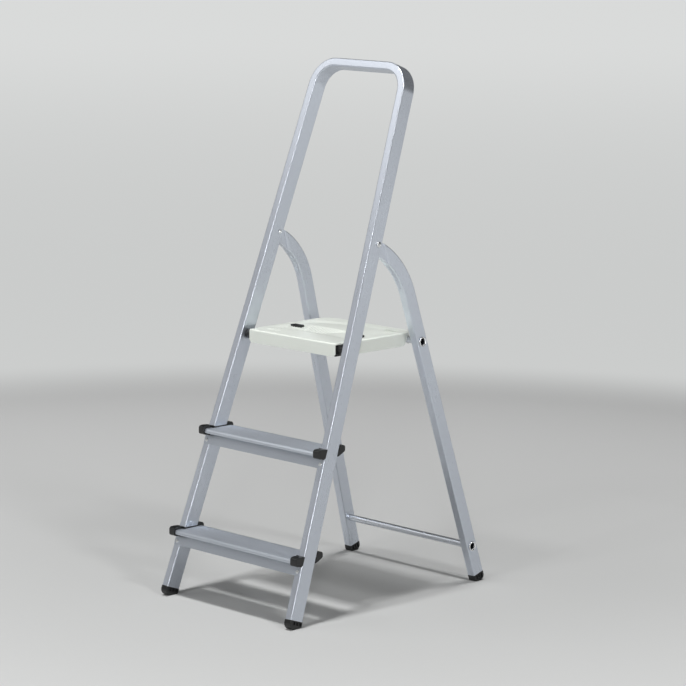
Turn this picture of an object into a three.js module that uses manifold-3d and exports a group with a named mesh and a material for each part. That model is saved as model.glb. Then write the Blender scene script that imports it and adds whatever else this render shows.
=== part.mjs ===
// Three-step aluminium step stool with a high bent rail, a folding rear frame and a lift-up platform.
// Millimetres, +Z up, the steps face -Y. The origin is on the floor, in the middle of the footprint.

import * as THREE from 'three';
import { mergeVertices } from 'three/addons/utils/BufferGeometryUtils.js';
import Module from 'manifold-3d';

const wasm = await Module();
wasm.setup();

// ---------------------------------------------------------------------------------------------
// Driving dimensions

const GAP = 0.3;                                     // between pieces that touch
const CURVE_STEPS = 5;

// front frame: one bent rectangular tube, feet to rail to feet
const FRONT_LEAN = THREE.MathUtils.degToRad(19.6);   // stiles lean back
const FRONT_HALF = 219.8;                            // outer half width on the floor
const FRONT_TAPER = 0.0508;                          // the half width lost per millimetre of rise
const STILE_WIDTH = 20;
const STILE_DEPTH = 40;
const STILE_WALL = 1.4;
const STILE_ROUND = 3;
const RAIL_END = 1346.4;                             // along the slope, floor to the rail's top face
const RAIL_BEND = 70;                                // outer radius of the two rail bends
const FRONT_CUT = 27.5;                              // where the stiles are sawn off, above the feet

// rear frame: two bent legs and two cross tubes
const REAR_LEAN = THREE.MathUtils.degToRad(17);      // legs lean forward
const REAR_FOOT_Y = 642.2;                           // front face of the legs on the floor
const REAR_HALF = 221.5;
const REAR_TAPER = 0.0521;
const LEG_WIDTH = 22;
const LEG_DEPTH = 33;
const LEG_WALL = 1.4;
const LEG_ROUND = 2.5;
const REAR_CUT = 15.5;
const ARM_START = 754;                               // along the leg, where the arm's bend begins
const ARM_RADIUS = 215;                              // back face of the bend
const ARM_END = THREE.MathUtils.degToRad(51);
const HOLLOW_END = THREE.MathUtils.degToRad(28);     // past this the tube is pressed solid
const TONGUE_THICKNESS = 14;
const TONGUE_CREASE = -28.4;                         // forward of the leg's front face
const CREASE_RUN = 3;

// the hinge of the rear frame, on the stiles
const HINGE_ALONG = 916;
const HINGE_DEPTH = 28.6;
const SLOT_LOW = 868;
const SLOT_HIGH = 938;
const SLOT_WIDTH = 15.4;

// cross tubes
const TUBE_RADIUS = 8;
const TUBE_WALL = 1.5;
const FLARE_RADIUS = 12;
const FLARE_MOUTH = 9;
const FLARE_HEIGHT = 2;
const TUBE_DEPTH = 16.5;
const LOWER_TUBE_ALONG = 89.8;
const UPPER_TUBE_ALONG = 633.5;

// treads
const TREADS = [{ name: 'lower', height: 158.6 }, { name: 'upper', height: 394.7 }];
const NOSE_REACH = 26;                               // nose in front of the stiles
const NOSE_HEIGHT = 10;
const TREAD_BACK = 57;
const TREAD_SKIN = 2;
const APRON_DROP = 38.2;
const NOSE_INSET = 16;                               // nose end inside the stile's outer face
const STRIP = 2;                                     // cap wall between the tread and the stile

// platform
const PLATFORM_ALONG = 658.7;                        // its pivot, along the stiles, at mid depth
const PLATFORM_TOP = 629.3;
const PLATFORM_HALF = 148.5;
const PLATFORM_FRONT_HALF = 143;                     // the front corners, beside the pivot blocks, are narrower
const PLATFORM_FRONT = 223;
const PLATFORM_BACK = 493;
const TRAY_SKIN = 1.5;
const TRAY_HEIGHT = 32;
const TRAY_ROUND = 4;
const TRAY_CORNER = 40;
const FLANGE_START = 29;                             // the side flanges begin behind the pivot blocks
const COLLAR_RADIUS = 11.2;
const STUB_RADIUS = 6;
const SADDLE_RADIUS = 10.5;                          // cut-out that sits over the upper cross tube
const PLUG_X = 100;
const PLUG_Y = 342;
const PLUG_LENGTH = 36;
const PLUG_WIDTH = 20;

// ---------------------------------------------------------------------------------------------
// Finishes

const finish = (color, roughness, metalness) => new THREE.MeshStandardMaterial({ color, roughness, metalness });
const ANODISED = finish(0xaeb6c2, 0.42, 0.85);
const TREAD_ALLOY = finish(0xa4acb6, 0.5, 0.8);
const RIVET_STEEL = finish(0xdfe3e6, 0.3, 0.95);
const BLACK_PLASTIC = finish(0x1d1f20, 0.55, 0);
const NYLON = finish(0xd8d6cc, 0.5, 0);
const WHITE_ENAMEL = finish(0xe6ebe4, 0.35, 0.1);

// ---------------------------------------------------------------------------------------------
// Solids

function solid(geometry) {
  const bare = geometry.clone();
  bare.deleteAttribute('normal');
  bare.deleteAttribute('uv');
  const merged = mergeVertices(bare, 1e-4);
  return new wasm.Manifold(new wasm.Mesh({
    numProp: 3,
    vertProperties: new Float32Array(merged.attributes.position.array),
    triVerts: new Uint32Array(merged.index.array),
  }));
}

function shell(body) {
  const { vertProperties, triVerts } = body.getMesh();
  const geometry = new THREE.BufferGeometry();
  geometry.setAttribute('position', new THREE.BufferAttribute(vertProperties, 3));
  geometry.setIndex(new THREE.BufferAttribute(triVerts, 1));
  return geometry;
}

function join(first, ...rest) {
  return shell(rest.reduce((body, geometry) => body.add(solid(geometry)), solid(first)));
}

function cut(first, ...rest) {
  return shell(rest.reduce((body, geometry) => body.subtract(solid(geometry)), solid(first)));
}

function extruded(shape, thickness, round = 0, steps = 2) {
  return new THREE.ExtrudeGeometry(shape, {
    depth: thickness - 2 * round,
    curveSegments: CURVE_STEPS,
    bevelEnabled: round > 0,
    bevelThickness: round,
    bevelSize: round,
    bevelOffset: -round,
    bevelSegments: steps,
  }).translate(0, 0, round);
}

// a shape drawn in (x, along) becomes a slab that runs back from depth 0
const upright = (geometry, depth) => geometry.rotateX(Math.PI / 2).translate(0, depth, 0);

// a side view drawn in (y, z) becomes a slab that runs along x from start
const SIDE_VIEW = new THREE.Matrix4().set(0, 0, 1, 0, 1, 0, 0, 0, 0, 1, 0, 0, 0, 0, 0, 1);
const sideways = (geometry, start) => geometry.applyMatrix4(SIDE_VIEW).translate(start, 0, 0);

function box(x0, x1, y0, y1, z0, z1) {
  return new THREE.BoxGeometry(x1 - x0, y1 - y0, z1 - z0).translate((x0 + x1) / 2, (y0 + y1) / 2, (z0 + z1) / 2);
}

function polygon(points) {
  return new THREE.Shape(points.map(([x, y]) => new THREE.Vector2(x, y)));
}

function roundedOutline(points, radii) {
  const shape = new THREE.Shape();
  const at = (i) => new THREE.Vector2(...points[(i + points.length) % points.length]);
  points.forEach((_, i) => {
    const corner = at(i);
    const radius = radii[i];
    const before = at(i - 1).sub(corner).normalize();
    const after = at(i + 1).sub(corner).normalize();
    const reach = radius / Math.tan(before.angleTo(after) / 2);
    const enter = corner.clone().addScaledVector(before, reach);
    const leave = corner.clone().addScaledVector(after, reach);
    if (i === 0) shape.moveTo(enter.x, enter.y);
    else shape.lineTo(enter.x, enter.y);
    if (radius > 0) shape.quadraticCurveTo(corner.x, corner.y, leave.x, leave.y);
  });
  shape.closePath();
  return shape;
}

// a turned piece whose axis is x; its profile's second number runs outwards on the given side
function turned(profile, side, segments = 14) {
  const points = profile.map(([radius, along]) => new THREE.Vector2(radius, along));
  return new THREE.LatheGeometry(points, segments).rotateZ(-side * Math.PI / 2);
}

const ring = (inner, outer, from, to) => [[inner, from], [outer, from], [outer, to], [inner, to], [inner, from]];
const rodAlongX = (radius, from, to, segments = 16) => turned([[0, from], [radius, from], [radius, to], [0, to]], 1, segments);

const model = new THREE.Group();

function place(parent, name, geometry, material) {
  const mesh = new THREE.Mesh(geometry, material);
  mesh.name = name;
  parent.add(mesh);
  return mesh;
}

// ---------------------------------------------------------------------------------------------
// Frames: the front frame's plane, the rear frame's plane, and each stile and leg in them

const SIDES = [{ name: 'left', side: -1 }, { name: 'right', side: 1 }];
const FRONT_SPLAY = Math.atan(FRONT_TAPER);
const REAR_SPLAY = Math.atan(REAR_TAPER);

const frontFrame = new THREE.Group();
frontFrame.rotation.x = -FRONT_LEAN;
const rearFrame = new THREE.Group();
rearFrame.position.y = REAR_FOOT_Y;
rearFrame.rotation.x = REAR_LEAN;
model.add(frontFrame, rearFrame);

function memberFrame(parent, half, splay, side) {
  const group = new THREE.Group();
  group.position.x = side * half;
  group.rotation.y = -side * splay;
  parent.add(group);
  return group;
}

for (const entry of SIDES) {
  entry.stile = memberFrame(frontFrame, FRONT_HALF, FRONT_SPLAY, entry.side);
  entry.leg = memberFrame(rearFrame, REAR_HALF, REAR_SPLAY, entry.side);
}
model.updateMatrixWorld(true);

// a geometry made in one group, seen from another
function seenFrom(geometry, own, other) {
  const matrix = new THREE.Matrix4().copy(other.matrixWorld).invert().multiply(own.matrixWorld);
  return geometry.clone().applyMatrix4(matrix);
}

// where the stile's outer face is at a distance along the slope, and how long the stile is up to there
const stileOuter = (along) => FRONT_HALF - FRONT_TAPER * along;
const stileInner = (along) => stileOuter(along) - STILE_WIDTH / Math.cos(FRONT_SPLAY);
const stileRun = (along) => along / Math.cos(FRONT_SPLAY);
const across = (side, a, b) => (side > 0 ? [-b, -a] : [a, b]);   // from the outer face inwards

// ---------------------------------------------------------------------------------------------
// Front frame

function railBand(outerInset, innerInset, footEnd) {
  const centreAlong = RAIL_END - RAIL_BEND;
  const centreX = stileOuter(centreAlong) - RAIL_BEND / Math.cos(FRONT_SPLAY);
  const edgeX = (inset) => stileOuter(footEnd) - inset / Math.cos(FRONT_SPLAY);
  const outer = RAIL_BEND - outerInset;
  const inner = RAIL_BEND - innerInset;
  const quarter = Math.PI / 2;
  const shape = new THREE.Shape();
  shape.moveTo(edgeX(innerInset), footEnd);
  shape.lineTo(edgeX(outerInset), footEnd);
  shape.absarc(centreX, centreAlong, outer, FRONT_SPLAY, quarter, false);
  shape.absarc(-centreX, centreAlong, outer, quarter, Math.PI - FRONT_SPLAY, false);
  shape.lineTo(-edgeX(outerInset), footEnd);
  shape.lineTo(-edgeX(innerInset), footEnd);
  shape.absarc(-centreX, centreAlong, inner, Math.PI - FRONT_SPLAY, quarter, true);
  shape.absarc(centreX, centreAlong, inner, quarter, FRONT_SPLAY, true);
  shape.closePath();
  return shape;
}

const APRON_RIVET_ALONG = (height) => (height - APRON_DROP + 8.5) / Math.cos(FRONT_LEAN);
const apronRivetX = (height) => stileOuter(APRON_RIVET_ALONG(height)) - STILE_WIDTH / 2;
const PIVOT_HOLE = 3.3;
const STUB_HOLE = STUB_RADIUS + 0.6;
const APRON_HOLE = 2.7;

function apronHoles(height) {
  return SIDES.map(({ side }) => new THREE.CylinderGeometry(APRON_HOLE, APRON_HOLE, 12, 16)
    .translate(side * apronRivetX(height), 0, APRON_RIVET_ALONG(height)));
}

function makeFrontFrame() {
  const below = 8;
  const outside = upright(extruded(railBand(0, STILE_WIDTH, FRONT_CUT - below), STILE_DEPTH, STILE_ROUND), STILE_DEPTH);
  const boreDepth = STILE_DEPTH - 2 * STILE_WALL;
  const bore = upright(
    extruded(railBand(STILE_WALL, STILE_WIDTH - STILE_WALL, FRONT_CUT - 2 * below), boreDepth, STILE_WALL, 1),
    STILE_DEPTH - STILE_WALL,
  );
  const openings = SIDES.flatMap(({ side, stile }) => {
    const [x0, x1] = across(side, (STILE_WIDTH - SLOT_WIDTH) / 2, (STILE_WIDTH + SLOT_WIDTH) / 2);
    const slot = box(x0, x1, STILE_DEPTH - 4, STILE_DEPTH + 1, stileRun(SLOT_LOW), stileRun(SLOT_HIGH));
    const pivot = rodAlongX(PIVOT_HOLE, -30, 30, 16).translate(0, HINGE_DEPTH, stileRun(HINGE_ALONG));
    const sawn = box(-60, 60, -10, STILE_DEPTH + 10, -60, FRONT_CUT);
    const stub = rodAlongX(STUB_HOLE, -4, 4, 20)
      .translate(side * stileInner(PLATFORM_ALONG), STILE_DEPTH / 2, PLATFORM_ALONG);
    return [stub, ...[slot, pivot, sawn].map((piece) => seenFrom(piece, stile, frontFrame))];
  });
  const rivetHoles = TREADS.flatMap(({ height }) => apronHoles(height));
  place(frontFrame, 'front_frame_tube', cut(outside, bore, ...openings, ...rivetHoles), ANODISED);
}

// rivet, spacer and washers of the rear frame's hinge, all on the stile
function makeHinge({ name, side, stile }) {
  const at = (geometry) => geometry.translate(0, HINGE_DEPTH, stileRun(HINGE_ALONG));
  const inside = STILE_WIDTH - STILE_WALL;
  const rivet = [
    [0, -STILE_WIDTH - 0.6], [1.6, -STILE_WIDTH - 0.6], [1.6, -STILE_WIDTH - 2.2], [4.2, -STILE_WIDTH - 2.2],
    [4.6, -STILE_WIDTH - 1.2], [4.6, -STILE_WIDTH - GAP], [3, -STILE_WIDTH - GAP], [3, GAP], [7, GAP],
    [6.6, 1.6], [4.8, 2.7], [2.4, 3.3], [0, 3.5],
  ];
  place(stile, `hinge_rivet_${name}`, at(turned(rivet, side)), RIVET_STEEL);
  const spacer = ring(3.3, 5, -inside + GAP, -STILE_WALL - GAP);
  place(stile, `hinge_spacer_${name}`, at(turned(spacer, side)), RIVET_STEEL);
  const washer = (start) => at(turned(ring(5.3, 8, start, start + 0.8), side));
  place(stile, `hinge_washer_outer_${name}`, washer(-STILE_WALL - GAP - 0.8), NYLON);
  place(stile, `hinge_washer_inner_${name}`, washer(-inside + GAP), NYLON);
}

// ---------------------------------------------------------------------------------------------
// Feet: a plug in the tube, and a sole cut to the floor with three pockets on each side

const FLOOR_ALLOWANCE = 1.5;                         // cut away flat once the foot is in place

function makeFoot({ parent, name, side, width, depth, wall, cutAlong, slope, toe, pockets }) {
  const round = 1;
  const floor = (y) => y * slope - FLOOR_ALLOWANCE;
  const sole = roundedOutline(
    [[0, cutAlong - GAP], [0, floor(0)], [depth, floor(depth)], [depth, cutAlong - GAP]],
    [0, ...toe, 0],
  );
  const [x0] = across(side, 0, width);
  const block = sideways(extruded(sole, width, round, 1), x0);
  const plugInset = wall + 1;
  const [p0, p1] = across(side, plugInset, width - plugInset);
  const plug = box(p0, p1, plugInset, depth - plugInset, cutAlong - 4, cutAlong + 28);
  const recesses = pockets.flatMap(([from, to]) => {
    const low = Math.max(floor(from), floor(to)) + 5;
    const skew = floor(to) - floor(from);
    const base = Math.max(floor(from), floor(to)) === floor(from) ? [low, low + skew] : [low - skew, low];
    const outline = polygon([[from, base[0]], [to, base[1]], [to, cutAlong - 2.5], [from, cutAlong - 2.5]]);
    return [across(side, -1, 3), across(side, width - 3, width + 1)]
      .map(([start]) => sideways(extruded(outline, 4), start));
  });
  const ground = seenFrom(box(-400, 400, -100, 900, -50, 0), model, parent);
  place(parent, name, cut(join(block, plug), ground, ...recesses), BLACK_PLASTIC);
}

function makeFeet({ name, side, stile, leg }) {
  makeFoot({
    parent: stile, name: `front_foot_${name}`, side, width: STILE_WIDTH, depth: STILE_DEPTH, wall: STILE_WALL,
    cutAlong: FRONT_CUT, slope: Math.tan(FRONT_LEAN), toe: [16, 3],
    pockets: [[7, 15], [17.5, 26], [28.5, 37.5]],
  });
  makeFoot({
    parent: leg, name: `rear_foot_${name}`, side, width: LEG_WIDTH, depth: LEG_DEPTH, wall: LEG_WALL,
    cutAlong: REAR_CUT, slope: -Math.tan(REAR_LEAN), toe: [3, 14],
    pockets: [[6, 13], [15.5, 22.5], [25, 30]],
  });
}

// ---------------------------------------------------------------------------------------------
// Rear frame

function legBand(inset, footEnd, endAngle) {
  const centreY = LEG_DEPTH - ARM_RADIUS;
  const outer = ARM_RADIUS - inset;
  const inner = ARM_RADIUS - LEG_DEPTH + inset;
  const shape = new THREE.Shape();
  shape.moveTo(inset, footEnd);
  shape.lineTo(LEG_DEPTH - inset, footEnd);
  shape.absarc(centreY, ARM_START, outer, 0, endAngle, false);
  shape.absarc(centreY, ARM_START, inner, endAngle, 0, true);
  shape.closePath();
  return shape;
}

// what is pressed away beside the tongue, on the outer or the inner face
function creaseCutter(faceX, towards) {
  const step = (LEG_WIDTH - TONGUE_THICKNESS) / 2;
  const outline = polygon([
    [faceX - towards * 5, -140], [faceX + towards * step, -140],
    [faceX + towards * step, TONGUE_CREASE], [faceX - towards * 0.2, TONGUE_CREASE + CREASE_RUN],
    [faceX - towards * 5, TONGUE_CREASE + CREASE_RUN],
  ]);
  return extruded(outline, 240).translate(0, 0, ARM_START);
}

function tubeHole(along, leg) {
  return seenFrom(rodAlongX(TUBE_RADIUS + GAP, -300, 300).translate(0, TUBE_DEPTH, along), rearFrame, leg);
}

function makeLeg({ name, side, stile, leg }) {
  const below = 8;
  const [x0, x1] = across(side, 0, LEG_WIDTH);
  const outside = sideways(extruded(legBand(0, REAR_CUT - below, ARM_END), LEG_WIDTH, LEG_ROUND), x0);
  const bore = sideways(
    extruded(legBand(LEG_WALL, REAR_CUT - 2 * below, HOLLOW_END), LEG_WIDTH - 2 * LEG_WALL, 1, 1),
    x0 + LEG_WALL,
  );
  const sawn = box(-40, 40, -20, LEG_DEPTH + 20, -60, REAR_CUT);
  const hinge = seenFrom(
    rodAlongX(5.9, -30, 30).translate(0, HINGE_DEPTH, stileRun(HINGE_ALONG)), stile, leg,
  );
  const parts = [bore, sawn, creaseCutter(x0, 1), creaseCutter(x1, -1), hinge];
  const holes = [LOWER_TUBE_ALONG, UPPER_TUBE_ALONG].map((along) => tubeHole(along, leg));
  place(leg, `rear_leg_${name}`, cut(outside, ...parts, ...holes), ANODISED);
}

function makeCrossTube(name, along) {
  const face = REAR_HALF - REAR_TAPER * along;
  const proud = 1;
  const start = face + proud;
  const end = start + FLARE_HEIGHT;
  const bore = TUBE_RADIUS - TUBE_WALL;
  const profile = [
    [TUBE_RADIUS, -start], [FLARE_RADIUS, -start], [FLARE_RADIUS, -start - 1], [FLARE_RADIUS - 1, -end],
    [FLARE_MOUTH, -end], [bore, -start + 3], [bore, start - 3], [FLARE_MOUTH, end], [FLARE_RADIUS - 1, end],
    [FLARE_RADIUS, start + 1], [FLARE_RADIUS, start], [TUBE_RADIUS, start], [TUBE_RADIUS, -start],
  ].reverse();
  place(rearFrame, name, turned(profile, 1, 16).translate(0, TUBE_DEPTH, along), ANODISED);
}

// ---------------------------------------------------------------------------------------------
// Treads and their end caps. u runs back from the stiles' front plane, w up from the deck.

const slopeAt = (w) => w * Math.tan(FRONT_LEAN);
const perpendicular = (distance) => distance / Math.cos(FRONT_LEAN);

function treadProfile() {
  const apronFront = (w) => slopeAt(w) - perpendicular(TREAD_SKIN + GAP);
  const apronBack = (w) => slopeAt(w) - perpendicular(GAP);
  const lip = -NOSE_REACH;
  const shape = roundedOutline([
    [lip, 0], [lip, -NOSE_HEIGHT], [apronFront(-NOSE_HEIGHT), -NOSE_HEIGHT], [apronFront(-APRON_DROP), -APRON_DROP],
    [apronBack(-APRON_DROP), -APRON_DROP], [apronBack(-TREAD_SKIN), -TREAD_SKIN],
    [TREAD_BACK - TREAD_SKIN, -TREAD_SKIN], [TREAD_BACK - TREAD_SKIN, -14], [TREAD_BACK, -14], [TREAD_BACK, 0],
  ], [3, 2.5, 0.4, 0.4, 0.4, 0.4, 0.4, 0.4, 0.4, 2]);
  return shape;
}

function noseHollow() {
  const front = -NOSE_REACH + TREAD_SKIN;
  const back = (w) => slopeAt(w) - perpendicular(TREAD_SKIN + GAP) - TREAD_SKIN;
  return polygon([
    [front, -NOSE_HEIGHT + TREAD_SKIN], [back(-NOSE_HEIGHT + TREAD_SKIN), -NOSE_HEIGHT + TREAD_SKIN],
    [back(-TREAD_SKIN), -TREAD_SKIN], [front, -TREAD_SKIN],
  ]);
}

const CAP_NOSE_BOTTOM = -15;

function makeTread(tread) {
  const { name, height, group } = tread;
  const along = height / Math.cos(FRONT_LEAN);
  const apronHalf = stileOuter(along) - 1;
  const noseHalf = stileOuter(along) - NOSE_INSET;
  const deckHalf = stileInner(along) - STRIP - 2 * GAP;
  const full = sideways(extruded(treadProfile(), 2 * apronHalf), -apronHalf);
  const hollow = sideways(extruded(noseHollow(), 2 * apronHalf + 20), -apronHalf - 10);
  const trims = SIDES.flatMap(({ side }) => {
    const from = (half) => (side > 0 ? [half, 260] : [-260, -half]);
    return [
      box(...from(noseHalf), -60, 80, CAP_NOSE_BOTTOM - 3 - GAP, 10),
      box(...from(deckHalf), slopeAt(0) - perpendicular(TREAD_SKIN + GAP), 80, -30, 10),
      sideways(extruded(polygon([
        [slopeAt(-APRON_DROP) - 1, -APRON_DROP - 5], [80, -APRON_DROP - 5], [80, 10], [slopeAt(10), 10],
      ]), 60), side > 0 ? deckHalf : -deckHalf - 60),
    ];
  });
  const holes = apronHoles(height).map((hole) => seenFrom(hole, frontFrame, group));
  const apronSlab = sideways(extruded(polygon([
    [slopeAt(-20) - perpendicular(TREAD_SKIN + GAP), -20], [slopeAt(-20) - perpendicular(GAP), -20],
    [slopeAt(-APRON_DROP) - perpendicular(GAP), -APRON_DROP],
    [slopeAt(-APRON_DROP) - perpendicular(TREAD_SKIN + GAP), -APRON_DROP],
  ]), 2 * apronHalf), -apronHalf);
  const trimmed = cut(full, hollow, ...trims);
  place(group, `${name}_tread`, cut(join(trimmed, apronSlab), ...holes), TREAD_ALLOY);
}

function capProfile() {
  const front = -NOSE_REACH - 2;
  return roundedOutline([
    [front, 4.5], [front, CAP_NOSE_BOTTOM + 3], [-12, CAP_NOSE_BOTTOM], [-9, CAP_NOSE_BOTTOM - 3],
    [6, CAP_NOSE_BOTTOM - 3], [40, CAP_NOSE_BOTTOM - 2], [62, -7], [62, 1], [56, 7.6], [44, 7.6],
    [41, 2.8], [3, 2.8], [0, 7], [-17, 7],
  ], [4, 4, 0, 0, 0, 0, 3, 3, 4, 0, 0, 0, 0, 5]);
}

function makeCap(tread, { name, side, stile }) {
  const { height, group } = tread;
  const along = height / Math.cos(FRONT_LEAN);
  const outer = stileOuter(along) + 1.5;
  const inner = stileInner(along) - STRIP - GAP;
  const noseEnd = stileOuter(along) - NOSE_INSET + GAP;
  const [x0] = side > 0 ? [inner] : [-outer];
  const block = sideways(extruded(capProfile(), outer - inner, 1, 1), x0);
  const clear = GAP;
  const [s0, s1] = across(side, -20, STILE_WIDTH + clear);
  const stileBody = seenFrom(
    box(s0, s1, -clear, STILE_DEPTH + clear, 0, 600), stile, group,
  );
  const deckRoom = side > 0 ? [inner - 5, noseEnd] : [-noseEnd, -inner + 5];
  const nose = box(...deckRoom, -60, -perpendicular(TREAD_SKIN), -60, 20);
  const tailTrim = side > 0 ? [stileOuter(along) - 0.5, 260] : [-260, -stileOuter(along) + 0.5];
  const tail = box(...tailTrim, 20, 90, -60, 40);
  const apronRoom = sideways(extruded(polygon([
    [slopeAt(-60) - perpendicular(TREAD_SKIN + 2 * GAP), -60], [slopeAt(-60) + 2, -60],
    [slopeAt(CAP_NOSE_BOTTOM) + 2, CAP_NOSE_BOTTOM],
    [slopeAt(CAP_NOSE_BOTTOM) - perpendicular(TREAD_SKIN + 2 * GAP), CAP_NOSE_BOTTOM],
  ]), 60), side > 0 ? inner - 20 : -inner - 40);
  place(group, `${tread.name}_tread_cap_${name}`, cut(block, stileBody, nose, tail, apronRoom), BLACK_PLASTIC);
}

function makeTreadRivets({ name: tread, height }) {
  const front = -TREAD_SKIN - 2 * GAP;
  const inside = STILE_WALL + GAP;
  const profile = [
    [0, front - 1.9], [2.4, front - 1.6], [4.2, front - 0.8], [4.5, front], [2.4, front], [2.4, inside],
    [3.5, inside + 0.6], [3.5, inside + 4], [2.4, inside + 5], [0, inside + 5],
  ];
  for (const { name, side } of SIDES) {
    const points = profile.map(([radius, y]) => new THREE.Vector2(radius, y));
    const rivet = new THREE.LatheGeometry(points, 16)
      .translate(side * apronRivetX(height), 0, APRON_RIVET_ALONG(height));
    place(frontFrame, `${tread}_tread_rivet_${name}`, rivet, RIVET_STEEL);
  }
}

// ---------------------------------------------------------------------------------------------
// Platform: a pressed steel tray that turns on two plastic blocks and sits over the upper cross tube

const PIVOT_Y = PLATFORM_ALONG * Math.sin(FRONT_LEAN) + STILE_DEPTH / 2 * Math.cos(FRONT_LEAN);
const PIVOT_Z = PLATFORM_ALONG * Math.cos(FRONT_LEAN) - STILE_DEPTH / 2 * Math.sin(FRONT_LEAN);
const SADDLE_Y = REAR_FOOT_Y + TUBE_DEPTH * Math.cos(REAR_LEAN) - UPPER_TUBE_ALONG * Math.sin(REAR_LEAN);
const SADDLE_Z = UPPER_TUBE_ALONG * Math.cos(REAR_LEAN) + TUBE_DEPTH * Math.sin(REAR_LEAN);
const TRAY_BOTTOM = PLATFORM_TOP - TRAY_HEIGHT;

function trayOutline(inset) {
  const half = PLATFORM_HALF - inset;
  const frontHalf = PLATFORM_FRONT_HALF - inset;
  const shoulder = PLATFORM_FRONT + FLANGE_START + inset;
  const front = PLATFORM_FRONT + inset;
  const back = PLATFORM_BACK - inset;
  const corner = TRAY_CORNER - inset;
  return roundedOutline(
    [[-frontHalf, front], [frontHalf, front], [frontHalf, shoulder], [half, shoulder], [half, back], [-half, back],
      [-half, shoulder], [-frontHalf, shoulder]],
    [0, 0, 0, 0, corner, corner, 0, 0],
  );
}

function saddleCutter() {
  const drop = TRAY_BOTTOM - 2 - SADDLE_Z;
  const lead = -drop * Math.tan(THREE.MathUtils.degToRad(40));
  const mouth = sideways(extruded(polygon([
    [SADDLE_Y - SADDLE_RADIUS, SADDLE_Z], [SADDLE_Y - SADDLE_RADIUS - lead, SADDLE_Z + drop],
    [SADDLE_Y + SADDLE_RADIUS, SADDLE_Z + drop], [SADDLE_Y + SADDLE_RADIUS, SADDLE_Z],
  ]), 400), -200);
  return join(rodAlongX(SADDLE_RADIUS, -200, 200).translate(0, SADDLE_Y, SADDLE_Z), mouth);
}

function plugOutline(inset) {
  const halfLength = PLUG_LENGTH / 2 - inset;
  const halfWidth = PLUG_WIDTH / 2 - inset;
  return roundedOutline(
    [[-halfLength, -halfWidth], [halfLength, -halfWidth], [halfLength, halfWidth], [-halfLength, halfWidth]],
    [7, 7, 7, 7],
  );
}

const BLOCK_RIVET_Y = PLATFORM_FRONT + 37;

function makeTray() {
  const outside = extruded(trayOutline(0), TRAY_HEIGHT + 20, TRAY_ROUND).translate(0, 0, TRAY_BOTTOM - 20);
  const inside = extruded(trayOutline(TRAY_SKIN), TRAY_HEIGHT + 20 - TRAY_SKIN, 2.5, 2)
    .translate(0, 0, TRAY_BOTTOM - 20);
  const below = box(-200, 200, 150, 550, TRAY_BOTTOM - 40, TRAY_BOTTOM);
  const corners = SIDES.map(({ side }) => {
    const [x0, x1] = side > 0 ? [PLATFORM_FRONT_HALF - 8, 160] : [-160, -PLATFORM_FRONT_HALF + 8];
    return box(x0, x1, PLATFORM_FRONT + TRAY_SKIN, PLATFORM_FRONT + FLANGE_START, 500, PLATFORM_TOP - TRAY_ROUND);
  });
  const plugHoles = SIDES.map(({ side }) => extruded(plugOutline(0), 20)
    .translate(side * PLUG_X, PLUG_Y, PLATFORM_TOP - 10));
  const rivetHoles = SIDES.map(({ side }) => rodAlongX(2.3, ...(side > 0 ? [140, 160] : [-160, -140]), 12)
    .translate(0, BLOCK_RIVET_Y, PIVOT_Z));
  place(model, 'platform_tray', cut(outside, inside, below, ...corners, saddleCutter(), ...plugHoles, ...rivetHoles),
    WHITE_ENAMEL);
}

function makePivotBlock({ name, side }) {
  const flush = PLATFORM_FRONT_HALF;
  const behind = PLATFORM_FRONT_HALF - TRAY_SKIN - GAP;
  const top = PLATFORM_TOP - TRAY_ROUND - GAP;
  const mirror = (a, b) => (side > 0 ? [a, b] : [-b, -a]);
  const front = PLATFORM_FRONT + TRAY_SKIN + GAP;
  const head = box(...mirror(flush - 33, flush), front, PLATFORM_FRONT + FLANGE_START - GAP,
    TRAY_BOTTOM + 1, top);
  const body = box(...mirror(flush - 33, behind - 1.5), front + 0.8, PLATFORM_FRONT + 44, TRAY_BOTTOM + 1, top);
  const collarEnd = stileInner(PLATFORM_ALONG) - 1;
  const stubEnd = stileInner(PLATFORM_ALONG) + 9;
  const boss = turned([[0, flush - 4], [COLLAR_RADIUS, flush - 4], [COLLAR_RADIUS, collarEnd], [STUB_RADIUS, collarEnd],
    [STUB_RADIUS, stubEnd - 1.5], [STUB_RADIUS - 1.5, stubEnd], [0, stubEnd]], side, 20)
    .translate(0, PIVOT_Y, PIVOT_Z);
  const rivetHole = rodAlongX(2.3, ...mirror(125, 160), 12).translate(0, BLOCK_RIVET_Y, PIVOT_Z);
  place(model, `platform_pivot_block_${name}`, cut(join(head, body, boss), rivetHole), BLACK_PLASTIC);
}

function makeBlockRivet({ name, side }) {
  const face = PLATFORM_HALF + GAP;
  const profile = [[0, 128], [2, 128], [2, face], [4, face], [3.6, face + 1], [2, face + 1.6], [0, face + 1.8]];
  place(model, `platform_block_rivet_${name}`, turned(profile, side, 16).translate(0, BLOCK_RIVET_Y, PIVOT_Z), RIVET_STEEL);
}

function makePlug({ name, side }) {
  const under = PLATFORM_TOP - TRAY_SKIN - GAP;
  const head = extruded(plugOutline(GAP), 6, 0.8, 1).translate(0, 0, PLATFORM_TOP - 4);
  const flange = extruded(plugOutline(-3), 2).translate(0, 0, under - 2);
  place(model, `platform_plug_${name}`, join(head, flange).translate(side * PLUG_X, PLUG_Y, 0), BLACK_PLASTIC);
}

// ---------------------------------------------------------------------------------------------
// Assembly

for (const tread of TREADS) {
  tread.group = new THREE.Group();
  tread.group.position.set(0, tread.height * Math.tan(FRONT_LEAN), tread.height);
  model.add(tread.group);
}
model.updateMatrixWorld(true);

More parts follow.
